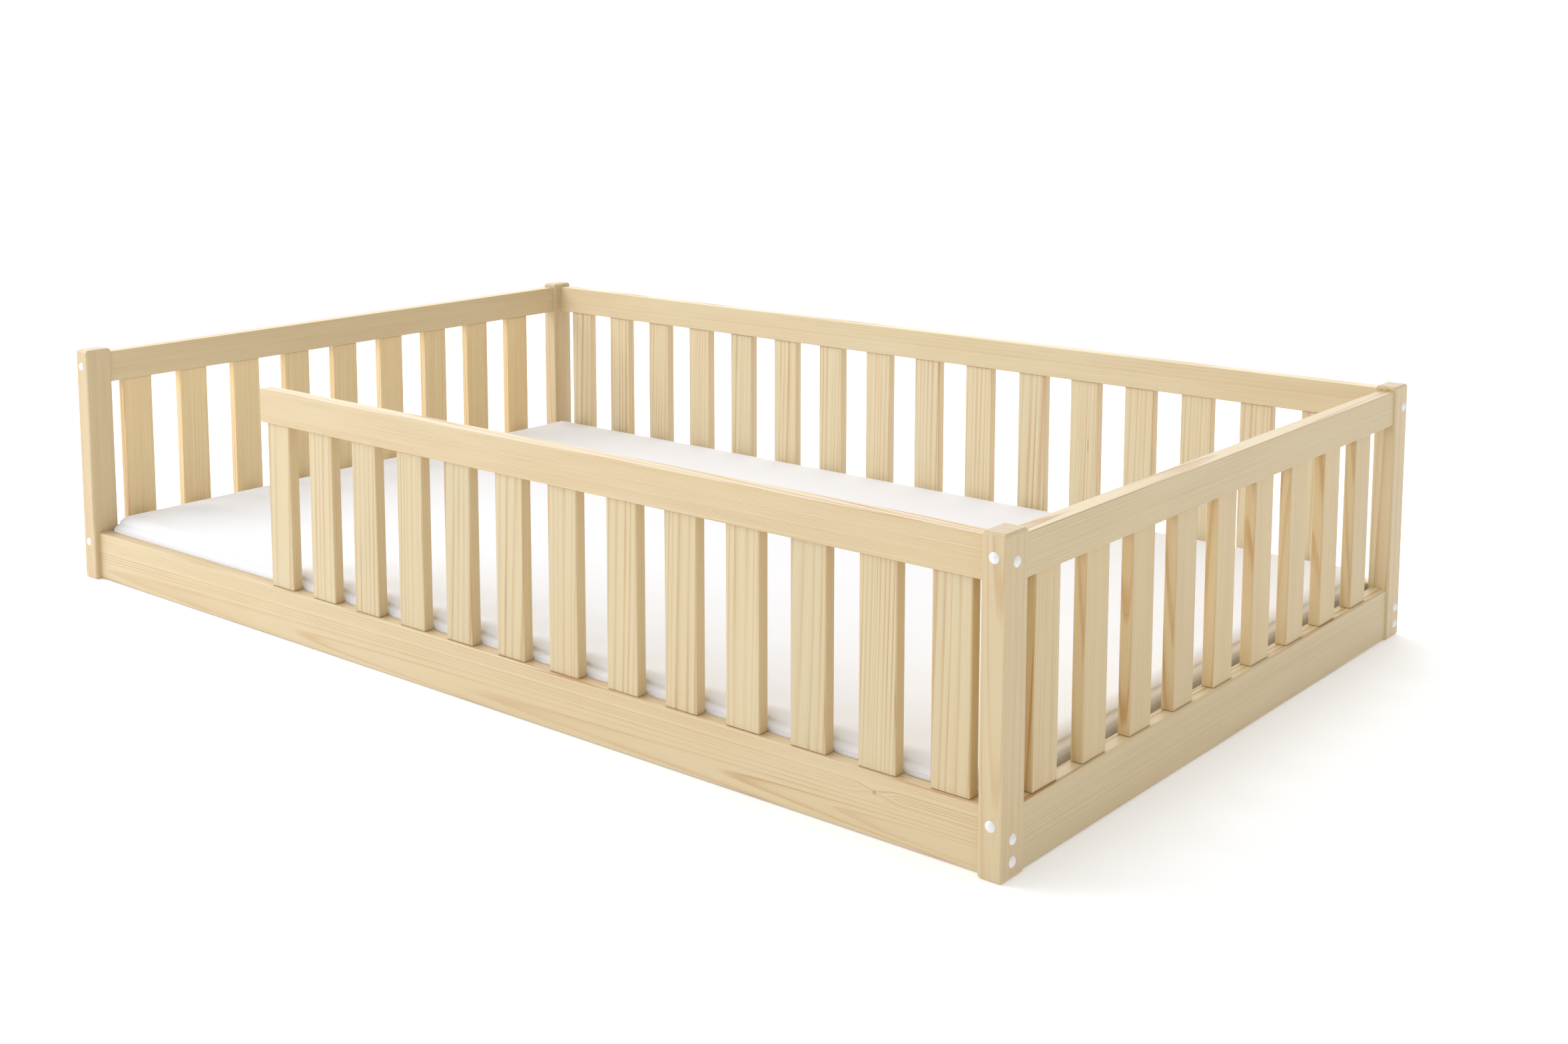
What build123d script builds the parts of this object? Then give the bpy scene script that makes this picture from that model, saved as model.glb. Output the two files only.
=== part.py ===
"""Slatted pine play bed: four corner posts, four slatted sides, a lift-out slat base and a mattress.

Millimetres. The origin is the centre of the footprint on the floor. +X runs along the length, +Y to the
back and +Z up. The front is the side with the entry gap, which is at its left end.
"""
from build123d import *
import os

os.makedirs("parts", exist_ok=True)

# Corner posts.
LENGTH = 2085.0
WIDTH = 1276.0
POST_HEIGHT = 445.0
POST_X = 36.5
POST_Y = 52.0
POST_EDGE_RADIUS = 3.8
POST_TOP_CHAMFER = 3.6
POST_FOOT_CHAMFER = 3.0

# Rails. An inset is the step from a post's outer face back to the rail's outer face.
RAIL_THICK = 28.0
BOTTOM_RAIL_FOOT = 1.5
BOTTOM_RAIL_TOP = 90.5
BOTTOM_RAIL_RADIUS = 3.0
TOP_RAIL_FOOT = 379.0
TOP_RAIL_TOP = 437.0
TOP_RAIL_RADIUS = 1.6
FRONT_INSET = 11.0
BACK_INSET = 3.5
SIDE_INSET = 3.5
GUARD_LEFT_END = -474.5

# Upright slats. Their left or front edges start at these places and step by these pitches. Those of the
# front stand in groups, each given by its start, pitch and count.
BALUSTER_WIDE = 61.0
BALUSTER_THICK = 19.0
BALUSTER_RADIUS = 2.5
BALUSTER_END_CHAMFER = 1.3
FRONT_GROUPS = ((-462.2, 114.4, 5), (113.4, 115.5, 2), (350.9, 114.6, 6))
SIDE_START = -556.0
SIDE_PITCH = 124.8
SIDE_COUNT = 9
BACK_START = -972.0
BACK_WIDE_PITCH = 124.9
BACK_WIDE_STEPS = 10
BACK_CLOSE_PITCH = 117.4
BACK_CLOSE_STEPS = 5

# Wooden dowels.
DOWEL_DIAMETER = 8.0
DOWEL_BORE = 8.2
RAIL_DOWEL_LENGTH = 32.0
RAIL_DOWEL_IN_POST = 12.0
TOP_DOWEL_Z = 391.0
LONG_BOTTOM_DOWEL_Z = 78.0
SIDE_BOTTOM_DOWEL_Z = (20.0, 50.0)
BALUSTER_DOWEL_LENGTH = 30.0
BALUSTER_DOWEL_OFFSET = 15.0
BORE_END_CLEARANCE = 0.5

# Frame screws and their domed caps. Screws along X pass below those along Y where they cross in a post.
LONG_RAIL_SCREW_Z = (23.0, 52.5)
LONG_TOP_SCREW_Z = 407.0
SIDE_SCREW_Z = (72.0, 413.5)
SCREW_DIAMETER = 6.0
SCREW_HEAD_DIAMETER = 10.0
SCREW_HEAD_HEIGHT = 4.0
SCREW_RECESS = 4.0
SHORT_SCREW_REACH = 70.0
LONG_SCREW_REACH = 90.0
SCREW_TIP_LENGTH = 6.0
SCREW_CLEARANCE = 0.2
HEX_KEY_RADIUS = 2.3
HEX_KEY_DEPTH = 2.2
CAP_DIAMETER = 15.0
CAP_HEIGHT = 3.5
CAP_PLUG_DIAMETER = 10.0
CAP_PLUG_DEPTH = 3.5

# Slat base that lies in the frame on two ledgers and on a runner along the middle of the floor.
LEDGER_WIDE = 22.0
LEDGER_FOOT = 2.0
LEDGER_TOP = 21.7
LEDGER_END_GAP = 1.0
LEDGER_RADIUS = 1.5
RUNNER_WIDE = 45.0
SLAT_FOOT = 22.0
SLAT_TOP = 40.0
SLAT_WIDE = 68.0
SLAT_RADIUS = 2.0
SLAT_COUNT = 14
SLAT_END_GAP = 3.0
SLAT_SIDE_GAP = 3.5
STRAP_Y = (-320.0, 330.0)
STRAP_WIDE = 30.0
STRAP_THICK = 1.2
STAPLE_WIRE = 1.0
STAPLE_CROWN = 11.0
STAPLE_LEG = 10.0
STAPLE_CLEARANCE = 0.1
SMALL_SCREW_DIAMETER = 4.0
SMALL_HEAD_DIAMETER = 8.0
SMALL_HEAD_HEIGHT = 2.6
SMALL_HEX_RADIUS = 1.6
SMALL_HEX_DEPTH = 1.5
LEDGER_SCREW_Z = 12.0
LEDGER_SCREW_REACH = 40.0
LEDGER_SCREW_COUNT = 7
LEDGER_SCREW_SPAN = 1860.0
SLAT_SCREW_REACH = 34.0

# Mattress.
MATTRESS_LENGTH = 2000.0
MATTRESS_WIDTH = 1200.0
MATTRESS_MIDDLE_X = -4.0
MATTRESS_FOOT = 40.3
MATTRESS_TOP = 120.0
MATTRESS_CORNER_RADIUS = 20.0
MATTRESS_EDGE_RADIUS = 17.0
COVER_THICK = 2.0
CORE_GAP = 0.2

LOW_ENDS = (Align.MIN, Align.MIN, Align.MIN)
FROM_START = (Align.CENTER, Align.CENTER, Align.MIN)

HALF_LENGTH = LENGTH / 2
HALF_WIDTH = WIDTH / 2
POST_INNER_X = HALF_LENGTH - POST_X
POST_INNER_Y = HALF_WIDTH - POST_Y
FRONT_LINE_Y = -(HALF_WIDTH - FRONT_INSET - RAIL_THICK / 2)
BACK_LINE_Y = HALF_WIDTH - BACK_INSET - RAIL_THICK / 2
SIDE_LINE_X = HALF_LENGTH - SIDE_INSET - RAIL_THICK / 2
FRONT_INNER_Y = FRONT_LINE_Y + RAIL_THICK / 2
BACK_INNER_Y = BACK_LINE_Y - RAIL_THICK / 2


def block(low, high):
    """A box from its lowest corner to its highest."""
    size = [top - bottom for bottom, top in zip(low, high)]
    return Pos(*low) * Box(*size, align=LOW_ENDS)


def rod(start, direction, length, diameter):
    """A round rod that leaves start in the given direction."""
    return Plane(origin=start, z_dir=direction) * Cylinder(diameter / 2, length, align=FROM_START)


def along(start, direction, distance):
    """The point at a distance from start in the given direction."""
    return tuple(place + step * distance for place, step in zip(start, direction))


def screw(start, direction, reach, diameter, head_diameter, head_height, key_radius, key_depth):
    """A socket screw: head, shank and point. Reach is its whole length from the top of the head."""
    shank_length = reach - head_height - SCREW_TIP_LENGTH
    head = Cylinder(head_diameter / 2, head_height, align=FROM_START)
    shank = Pos(0, 0, head_height) * Cylinder(diameter / 2, shank_length, align=FROM_START)
    tip_place = Pos(0, 0, head_height + shank_length)
    tip = tip_place * Cone(diameter / 2, diameter / 8, SCREW_TIP_LENGTH, align=FROM_START)
    key = extrude(RegularPolygon(key_radius, 6), key_depth)
    return Plane(origin=start, z_dir=direction) * (head + shank + tip - key)


def frame_screw(face_point, direction, reach):
    """A frame screw whose head is sunk under a post's outer face."""
    start = along(face_point, direction, SCREW_RECESS)
    return screw(start, direction, reach - SCREW_RECESS, SCREW_DIAMETER, SCREW_HEAD_DIAMETER,
                 SCREW_HEAD_HEIGHT, HEX_KEY_RADIUS, HEX_KEY_DEPTH)


def frame_screw_bore(face_point, direction, reach):
    """The hole for a frame screw: a counterbore for the head and cap, then a bore for the shank."""
    clearance = 2 * SCREW_CLEARANCE
    head_bore = rod(face_point, direction, SCREW_RECESS + SCREW_HEAD_HEIGHT, SCREW_HEAD_DIAMETER + clearance)
    shank_bore = rod(face_point, direction, reach + BORE_END_CLEARANCE, SCREW_DIAMETER + clearance)
    return head_bore + shank_bore


def small_screw(start, direction, reach):
    """A wood screw of the slat base, with its head flush with the surface that it enters."""
    return screw(start, direction, reach, SMALL_SCREW_DIAMETER, SMALL_HEAD_DIAMETER,
                 SMALL_HEAD_HEIGHT, SMALL_HEX_RADIUS, SMALL_HEX_DEPTH)


def small_screw_bore(start, direction, reach):
    """The hole for a small wood screw."""
    clearance = 2 * SCREW_CLEARANCE
    head_bore = rod(start, direction, SMALL_HEAD_HEIGHT, SMALL_HEAD_DIAMETER + clearance)
    return head_bore + rod(start, direction, reach + BORE_END_CLEARANCE, SMALL_SCREW_DIAMETER + clearance)


def cap(face_point, outward):
    """A domed plastic cap, with a plug that fills the mouth of the counterbore."""
    plug_radius = CAP_PLUG_DIAMETER / 2
    rim_radius = CAP_DIAMETER / 2
    sphere_radius = (rim_radius**2 + CAP_HEIGHT**2) / (2 * CAP_HEIGHT)
    dome = Pos(0, 0, CAP_HEIGHT - sphere_radius) * Sphere(sphere_radius)
    above_face = Cylinder(rim_radius, CAP_HEIGHT, align=FROM_START)
    plug = Pos(0, 0, -CAP_PLUG_DEPTH) * Cylinder(plug_radius, CAP_PLUG_DEPTH, align=FROM_START)
    return Plane(origin=face_point, z_dir=outward) * ((dome & above_face) + plug)


def post(side_x, side_y):
    """A corner post with eased edges, before its holes."""
    low_x = min(side_x * HALF_LENGTH, side_x * POST_INNER_X)
    low_y = min(side_y * HALF_WIDTH, side_y * POST_INNER_Y)
    body = block((low_x, low_y, 0), (low_x + POST_X, low_y + POST_Y, POST_HEIGHT))
    body = fillet(body.edges().filter_by(Axis.Z), POST_EDGE_RADIUS)
    body = chamfer(body.faces().sort_by(Axis.Z)[-1].edges(), POST_TOP_CHAMFER)
    return chamfer(body.faces().sort_by(Axis.Z)[0].edges(), POST_FOOT_CHAMFER)


def long_rail(line_y, foot, top, left, right, radius):
    """A rail along X, centred on line_y, before its holes."""
    half = RAIL_THICK / 2
    body = block((left, line_y - half, foot), (right, line_y + half, top))
    return fillet(body.edges().filter_by(Axis.X), radius)


def side_rail(line_x, foot, top, radius):
    """A rail along Y between two posts, centred on line_x, before its holes."""
    half = RAIL_THICK / 2
    body = block((line_x - half, -POST_INNER_Y, foot), (line_x + half, POST_INNER_Y, top))
    return fillet(body.edges().filter_by(Axis.Y), radius)


class Panel:
    """The upright slats of one side, with the dowels that join them to the rails above and below."""

    def __init__(self, starts, line, runs_along_x):
        self.starts = starts
        self.line = line
        self.runs_along_x = runs_along_x

    def place(self, run, height):
        """The point at a distance along the panel, on its middle line."""
        if self.runs_along_x:
            return (run, self.line, height)
        return (self.line, run, height)

    def dowel_places(self, start):
        """The middle of each dowel at one end of a slat, along the panel."""
        middle = start + BALUSTER_WIDE / 2
        return [middle - BALUSTER_DOWEL_OFFSET, middle + BALUSTER_DOWEL_OFFSET]

    def joint_rods(self, start, height, length, diameter):
        """Upright rods centred on a joint height, one at each dowel place of a slat."""
        foot = height - length / 2
        return [rod(self.place(run, foot), (0, 0, 1), length, diameter) for run in self.dowel_places(start)]

    def bores(self, height):
        """All the dowel holes where the panel's slats meet a rail."""
        length = BALUSTER_DOWEL_LENGTH + 2 * BORE_END_CLEARANCE
        return [bore for start in self.starts for bore in self.joint_rods(start, height, length, DOWEL_BORE)]

    def dowels(self):
        """All the dowels of the panel."""
        heights = (BOTTOM_RAIL_TOP, TOP_RAIL_FOOT)
        return [dowel for start in self.starts for height in heights
                for dowel in self.joint_rods(start, height, BALUSTER_DOWEL_LENGTH, DOWEL_DIAMETER)]

    def slat(self, start):
        """One upright slat with its four dowel holes."""
        middle = self.place(start + BALUSTER_WIDE / 2, BOTTOM_RAIL_TOP)
        size = (BALUSTER_WIDE, BALUSTER_THICK) if self.runs_along_x else (BALUSTER_THICK, BALUSTER_WIDE)
        body = Pos(*middle) * Box(*size, TOP_RAIL_FOOT - BOTTOM_RAIL_TOP, align=FROM_START)
        body = fillet(body.edges().filter_by(Axis.Z), BALUSTER_RADIUS)
        body = chamfer(body.faces().filter_by(Axis.Z).edges(), BALUSTER_END_CHAMFER)
        length = BALUSTER_DOWEL_LENGTH + 2 * BORE_END_CLEARANCE
        for height in (BOTTOM_RAIL_TOP, TOP_RAIL_FOOT):
            body -= self.joint_rods(start, height, length, DOWEL_BORE)
        return body


def evenly(start, pitch, count):
    """Places that step by one pitch."""
    return [start + index * pitch for index in range(count)]


def front_starts():
    """The front slats, with slightly wider gaps between their groups."""
    return [place for group in FRONT_GROUPS for place in evenly(*group)]


def back_starts():
    """The back slats, which stand closer together towards the right."""
    wide = evenly(BACK_START, BACK_WIDE_PITCH, BACK_WIDE_STEPS + 1)
    return wide + evenly(wide[-1] + BACK_CLOSE_PITCH, BACK_CLOSE_PITCH, BACK_CLOSE_STEPS)


class Corner:
    """The screws, dowels and caps of one corner post, and the holes that they need."""

    def __init__(self, side_x, side_y, has_long_top_rail):
        self.side_x = side_x
        self.side_y = side_y
        self.line_y = FRONT_LINE_Y if side_y < 0 else BACK_LINE_Y
        self.line_x = side_x * SIDE_LINE_X
        self.inward_x = (-side_x, 0, 0)
        self.inward_y = (0, -side_y, 0)
        top_screw = [LONG_TOP_SCREW_Z] if has_long_top_rail else []
        top_dowel = [TOP_DOWEL_Z] if has_long_top_rail else []
        self.x_screw_heights = [*LONG_RAIL_SCREW_Z, *top_screw]
        self.x_dowel_heights = [LONG_BOTTOM_DOWEL_Z, *top_dowel]
        self.y_dowel_heights = [*SIDE_BOTTOM_DOWEL_Z, TOP_DOWEL_Z]

    def x_faces(self):
        """Where screws along X enter the post's outer face."""
        return [(self.side_x * HALF_LENGTH, self.line_y, height) for height in self.x_screw_heights]

    def y_faces(self):
        """Where screws along Y enter the post's outer face."""
        return [(self.line_x, self.side_y * HALF_WIDTH, height) for height in SIDE_SCREW_Z]

    def x_dowel_starts(self):
        """The ends, inside the post, of the dowels along X."""
        place_x = self.side_x * (POST_INNER_X + RAIL_DOWEL_IN_POST)
        return [(place_x, self.line_y, height) for height in self.x_dowel_heights]

    def y_dowel_starts(self):
        """The ends, inside the post, of the dowels along Y."""
        place_y = self.side_y * (POST_INNER_Y + RAIL_DOWEL_IN_POST)
        return [(self.line_x, place_y, height) for height in self.y_dowel_heights]

    def short_screws(self):
        return [frame_screw(point, self.inward_x, SHORT_SCREW_REACH) for point in self.x_faces()]

    def long_screws(self):
        return [frame_screw(point, self.inward_y, LONG_SCREW_REACH) for point in self.y_faces()]

    def dowels(self):
        sets = ((self.x_dowel_starts(), self.inward_x), (self.y_dowel_starts(), self.inward_y))
        return [rod(start, inward, RAIL_DOWEL_LENGTH, DOWEL_DIAMETER) for starts, inward in sets
                for start in starts]

    def caps(self):
        outward_x = (self.side_x, 0, 0)
        outward_y = (0, self.side_y, 0)
        on_x = [cap(point, outward_x) for point in self.x_faces()]
        return on_x + [cap(point, outward_y) for point in self.y_faces()]

    def dowel_bore(self, start, inward):
        """A dowel hole that runs a little past both ends of its dowel."""
        length = RAIL_DOWEL_LENGTH + 2 * BORE_END_CLEARANCE
        return rod(along(start, inward, -BORE_END_CLEARANCE), inward, length, DOWEL_BORE)

    def x_bores(self):
        """The holes that the post shares with the rails along X."""
        bores = [frame_screw_bore(point, self.inward_x, SHORT_SCREW_REACH) for point in self.x_faces()]
        return bores + [self.dowel_bore(start, self.inward_x) for start in self.x_dowel_starts()]

    def y_bores(self):
        """The holes that the post shares with the rails along Y."""
        bores = [frame_screw_bore(point, self.inward_y, LONG_SCREW_REACH) for point in self.y_faces()]
        return bores + [self.dowel_bore(start, self.inward_y) for start in self.y_dowel_starts()]


def ledger_screw_places(inner_y, inward):
    """Where screws enter a ledger's inner face; inward points from the ledger into its rail."""
    step = LEDGER_SCREW_SPAN / (LEDGER_SCREW_COUNT - 1)
    face_y = inner_y - inward * LEDGER_WIDE
    places = evenly(-LEDGER_SCREW_SPAN / 2, step, LEDGER_SCREW_COUNT)
    return [(place, face_y, LEDGER_SCREW_Z) for place in places]


def ledger(inner_y, inward, screw_places):
    """A batten along the inner face of a long bottom rail, which carries the ends of the slats."""
    face_y = inner_y - inward * LEDGER_WIDE
    reach_x = POST_INNER_X - LEDGER_END_GAP
    body = block((-reach_x, min(inner_y, face_y), LEDGER_FOOT), (reach_x, max(inner_y, face_y), LEDGER_TOP))
    body = fillet(body.edges().filter_by(Axis.X), LEDGER_RADIUS)
    return body - [small_screw_bore(point, (0, inward, 0), LEDGER_SCREW_REACH) for point in screw_places]


def slat_places():
    """The middle of each bed slat along the length."""
    reach = POST_INNER_X - SLAT_SIDE_GAP - SLAT_WIDE / 2
    return evenly(-reach, 2 * reach / (SLAT_COUNT - 1), SLAT_COUNT)


def bed_slat(middle_x, bores):
    """One slat of the base, across the bed."""
    half = SLAT_WIDE / 2
    low = (middle_x - half, FRONT_INNER_Y + SLAT_END_GAP, SLAT_FOOT)
    high = (middle_x + half, BACK_INNER_Y - SLAT_END_GAP, SLAT_TOP)
    body = block(low, high)
    return fillet(body.edges().filter_by(Axis.Y), SLAT_RADIUS) - bores


def staple(middle_x, middle_y, grow):
    """A staple under a strap, with its legs up through the strap into the slat. Grow makes its hole."""
    half_wire = STAPLE_WIRE / 2 + grow
    half_crown = STAPLE_CROWN / 2
    strap_foot = SLAT_FOOT - STRAP_THICK
    crown_low = (middle_x - half_crown - grow, middle_y - half_wire, strap_foot - STAPLE_WIRE)
    body = block(crown_low, (middle_x + half_crown + grow, middle_y + half_wire, strap_foot))
    for end_x in (middle_x - half_crown + STAPLE_WIRE / 2, middle_x + half_crown - STAPLE_WIRE / 2):
        leg_low = (end_x - half_wire, middle_y - half_wire, strap_foot - STAPLE_WIRE)
        leg_top = strap_foot - STAPLE_WIRE + STAPLE_LEG + grow
        body += block(leg_low, (end_x + half_wire, middle_y + half_wire, leg_top))
    return body


def cushion_block(shrink):
    """The mattress's rounded outline, made smaller all round by shrink."""
    middle_y = (FRONT_INNER_Y + BACK_INNER_Y) / 2
    half_x = MATTRESS_LENGTH / 2 - shrink
    half_y = MATTRESS_WIDTH / 2 - shrink
    low = (MATTRESS_MIDDLE_X - half_x, middle_y - half_y, MATTRESS_FOOT + shrink)
    body = block(low, (MATTRESS_MIDDLE_X + half_x, middle_y + half_y, MATTRESS_TOP - shrink))
    body = fillet(body.edges().filter_by(Axis.Z), MATTRESS_CORNER_RADIUS - shrink)
    flat_faces = body.faces().filter_by(Axis.Z)
    return fillet(flat_faces.edges(), MATTRESS_EDGE_RADIUS - shrink)


def save(name, pieces):
    """Writes one node, which is one solid or a group of separate solids."""
    solids = [solid for piece in pieces for solid in piece.solids()]
    shape = solids[0] if len(solids) == 1 else Compound(children=solids)
    shape.label = name
    export_step(shape, f"parts/{name}.step")


front_left = Corner(-1, -1, False)
front_right = Corner(1, -1, True)
back_left = Corner(-1, 1, True)
back_right = Corner(1, 1, True)
corners = {
    "post_front_left": front_left,
    "post_front_right": front_right,
    "post_back_left": back_left,
    "post_back_right": back_right,
}

front_panel = Panel(front_starts(), FRONT_LINE_Y, True)
back_panel = Panel(back_starts(), BACK_LINE_Y, True)
left_panel = Panel(evenly(SIDE_START, SIDE_PITCH, SIDE_COUNT), -SIDE_LINE_X, False)
right_panel = Panel(evenly(SIDE_START, SIDE_PITCH, SIDE_COUNT), SIDE_LINE_X, False)

# Posts.
for name, corner in corners.items():
    save(name, [post(corner.side_x, corner.side_y) - corner.x_bores() - corner.y_bores()])

# Ledgers and the screws that hold them to the long bottom rails.
front_ledger_screws = ledger_screw_places(FRONT_INNER_Y, -1)
back_ledger_screws = ledger_screw_places(BACK_INNER_Y, 1)
save("front_ledger", [ledger(FRONT_INNER_Y, -1, front_ledger_screws)])
save("back_ledger", [ledger(BACK_INNER_Y, 1, back_ledger_screws)])
front_into_rail = [small_screw(point, (0, -1, 0), LEDGER_SCREW_REACH) for point in front_ledger_screws]
back_into_rail = [small_screw(point, (0, 1, 0), LEDGER_SCREW_REACH) for point in back_ledger_screws]
save("ledger_screws", front_into_rail + back_into_rail)

# Rails along the length.
front_bottom = long_rail(FRONT_LINE_Y, BOTTOM_RAIL_FOOT, BOTTOM_RAIL_TOP, -POST_INNER_X, POST_INNER_X,
                         BOTTOM_RAIL_RADIUS)
front_bottom -= front_left.x_bores() + front_right.x_bores() + front_panel.bores(BOTTOM_RAIL_TOP)
front_bottom -= [small_screw_bore(point, (0, -1, 0), LEDGER_SCREW_REACH) for point in front_ledger_screws]
save("front_bottom_rail", [front_bottom])

back_bottom = long_rail(BACK_LINE_Y, BOTTOM_RAIL_FOOT, BOTTOM_RAIL_TOP, -POST_INNER_X, POST_INNER_X,
                        BOTTOM_RAIL_RADIUS)
back_bottom -= back_left.x_bores() + back_right.x_bores() + back_panel.bores(BOTTOM_RAIL_TOP)
back_bottom -= [small_screw_bore(point, (0, 1, 0), LEDGER_SCREW_REACH) for point in back_ledger_screws]
save("back_bottom_rail", [back_bottom])

guard = long_rail(FRONT_LINE_Y, TOP_RAIL_FOOT, TOP_RAIL_TOP, GUARD_LEFT_END, POST_INNER_X, TOP_RAIL_RADIUS)
guard -= front_right.x_bores() + front_panel.bores(TOP_RAIL_FOOT)
save("front_top_rail", [guard])

back_top = long_rail(BACK_LINE_Y, TOP_RAIL_FOOT, TOP_RAIL_TOP, -POST_INNER_X, POST_INNER_X, TOP_RAIL_RADIUS)
back_top -= back_left.x_bores() + back_right.x_bores() + back_panel.bores(TOP_RAIL_FOOT)
save("back_top_rail", [back_top])

# Rails across the width.
for side, panel, front, back in (
    ("left", left_panel, front_left, back_left),
    ("right", right_panel, front_right, back_right),
):
    corner_bores = front.y_bores() + back.y_bores()
    bottom = side_rail(panel.line, BOTTOM_RAIL_FOOT, BOTTOM_RAIL_TOP, BOTTOM_RAIL_RADIUS)
    save(f"{side}_bottom_rail", [bottom - corner_bores - panel.bores(BOTTOM_RAIL_TOP)])
    top = side_rail(panel.line, TOP_RAIL_FOOT, TOP_RAIL_TOP, TOP_RAIL_RADIUS)
    save(f"{side}_top_rail", [top - corner_bores - panel.bores(TOP_RAIL_FOOT)])

# Upright slats.
for number, start in enumerate(front_panel.starts, 1):
    save(f"front_baluster_{number:02d}", [front_panel.slat(start)])
for side, panel in (("left", left_panel), ("right", right_panel)):
    for number, start in enumerate(panel.starts, 1):
        save(f"{side}_baluster_{number}", [panel.slat(start)])
save("back_balusters", [back_panel.slat(start) for start in back_panel.starts])

# Dowels, screws and caps of the frame.
panels = (front_panel, back_panel, left_panel, right_panel)
save("baluster_dowels", [dowel for panel in panels for dowel in panel.dowels()])
save("rail_dowels", [dowel for corner in corners.values() for dowel in corner.dowels()])
save("frame_screws_short", [piece for corner in corners.values() for piece in corner.short_screws()])
save("frame_screws_long", [piece for corner in corners.values() for piece in corner.long_screws()])
save("screw_caps", [piece for corner in corners.values() for piece in corner.caps()])

# Slat base.
slat_screw_points = [(place, 0, SLAT_TOP) for place in slat_places()]
slat_screw_bores = [small_screw_bore(point, (0, 0, -1), SLAT_SCREW_REACH) for point in slat_screw_points]
runner_reach = POST_INNER_X - SLAT_SIDE_GAP
runner = block((-runner_reach, -RUNNER_WIDE / 2, 0), (runner_reach, RUNNER_WIDE / 2, SLAT_FOOT))
save("centre_runner", [runner - slat_screw_bores])
save("slat_screws", [small_screw(point, (0, 0, -1), SLAT_SCREW_REACH) for point in slat_screw_points])

staple_holes = [staple(place, line, STAPLE_CLEARANCE) for line in STRAP_Y for place in slat_places()]
slats = []
for place, screw_bore in zip(slat_places(), slat_screw_bores):
    own_holes = [staple(place, line, STAPLE_CLEARANCE) for line in STRAP_Y]
    slats.append(bed_slat(place, [screw_bore, *own_holes]))
save("bed_slats", slats)

straps = []
for line in STRAP_Y:
    strap_low = (-runner_reach, line - STRAP_WIDE / 2, SLAT_FOOT - STRAP_THICK)
    strap = block(strap_low, (runner_reach, line + STRAP_WIDE / 2, SLAT_FOOT))
    straps.append(strap - staple_holes)
save("slat_straps", straps)
save("strap_staples", [staple(place, line, 0) for line in STRAP_Y for place in slat_places()])

# Mattress.
save("mattress_cover", [cushion_block(0) - cushion_block(COVER_THICK)])
save("mattress_core", [cushion_block(COVER_THICK + CORE_GAP)])
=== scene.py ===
import math

import bmesh
import bpy
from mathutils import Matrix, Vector, noise


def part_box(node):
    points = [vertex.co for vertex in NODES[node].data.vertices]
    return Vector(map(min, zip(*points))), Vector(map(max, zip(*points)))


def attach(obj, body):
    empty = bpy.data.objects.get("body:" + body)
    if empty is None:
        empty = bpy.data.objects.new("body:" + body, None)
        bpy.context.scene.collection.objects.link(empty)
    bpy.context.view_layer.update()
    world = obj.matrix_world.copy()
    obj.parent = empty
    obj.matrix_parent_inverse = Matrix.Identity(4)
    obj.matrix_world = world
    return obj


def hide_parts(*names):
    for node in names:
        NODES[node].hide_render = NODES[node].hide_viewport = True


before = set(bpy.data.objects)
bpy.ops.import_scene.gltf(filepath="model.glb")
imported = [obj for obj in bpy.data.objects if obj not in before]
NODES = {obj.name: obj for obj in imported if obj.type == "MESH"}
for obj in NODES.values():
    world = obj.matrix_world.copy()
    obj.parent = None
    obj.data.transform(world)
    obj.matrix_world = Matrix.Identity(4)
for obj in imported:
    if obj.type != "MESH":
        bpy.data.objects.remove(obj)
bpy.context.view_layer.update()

# Colours are linear albedo.
PINE_EARLY = (0.685, 0.56, 0.345)
# PINE_WARM colours warm patches in the wood, and also the painted shade on the narrow faces.
PINE_WARM = (0.655, 0.485, 0.25)
PINE_LATE = (0.47, 0.24, 0.07)
PINE_KNOT = (0.47, 0.235, 0.075)
CAP_WHITE = (0.86, 0.86, 0.87)
STEEL = (0.62, 0.62, 0.60)
CLOTH_WHITE = (0.852, 0.85, 0.865)
WEBBING = (0.74, 0.71, 0.62)
PAPER_DARK = (0.93, 0.932, 0.94)
PAPER_LIGHT = (0.95, 0.951, 0.955)

# Boards differ a little in tone from panel to panel, and these multiply the pine's colour. The back and left
# panels are painted lighter and paler, painted light for the shade inside the bed, and the right panels darker
# and warmer, painted shade on the end away from the light.
POST_TINT = (0.96, 0.95, 0.94)
FRONT_RAIL_TINT = (1.0, 1.0, 1.01)
BACK_RAIL_PAINTED_LIGHT = (1.08, 1.12, 1.19)
RIGHT_RAIL_PAINTED_SHADE = (0.93, 0.94, 0.93)
FRONT_SLAT_TINT = (0.96, 0.98, 1.0)
RIGHT_SLAT_PAINTED_SHADE = (0.97, 0.95, 0.90)
LEFT_SLAT_PAINTED_LIGHT = (1.15, 1.12, 1.04)
BACK_SLAT_PAINTED_LIGHT = (1.11, 1.16, 1.26)
BASE_TINT = (0.96, 0.93, 0.88)
DOWEL_TINT = (0.8, 0.72, 0.68)

# Wood. Lengths are in metres. A cell is a box that holds one board; the long side of a cell takes any board.
LONG_CELL = 40.0
HALF_CELL = 0.5
SAWN_ROUGHNESS = 0.62
WOOD_RELIEF = 0.00012
KNOT_X = 0.840
KNOT_Z = 0.0635
KNOT_RADIUS = 0.0042
STREAK_X = 0.4349
STREAK_Z = 0.254
STREAK_HALF_WIDTH = 0.0011
STREAK_HALF_LENGTH = 0.022

# The frame's rhythm: steps from the first board to the last one.
BACK_SLAT_STEPS = 15
BACK_CELL_SHIFT = 0.0125
BED_SLAT_STEPS = 13
BED_SLAT_WIDE = 0.068

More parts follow.
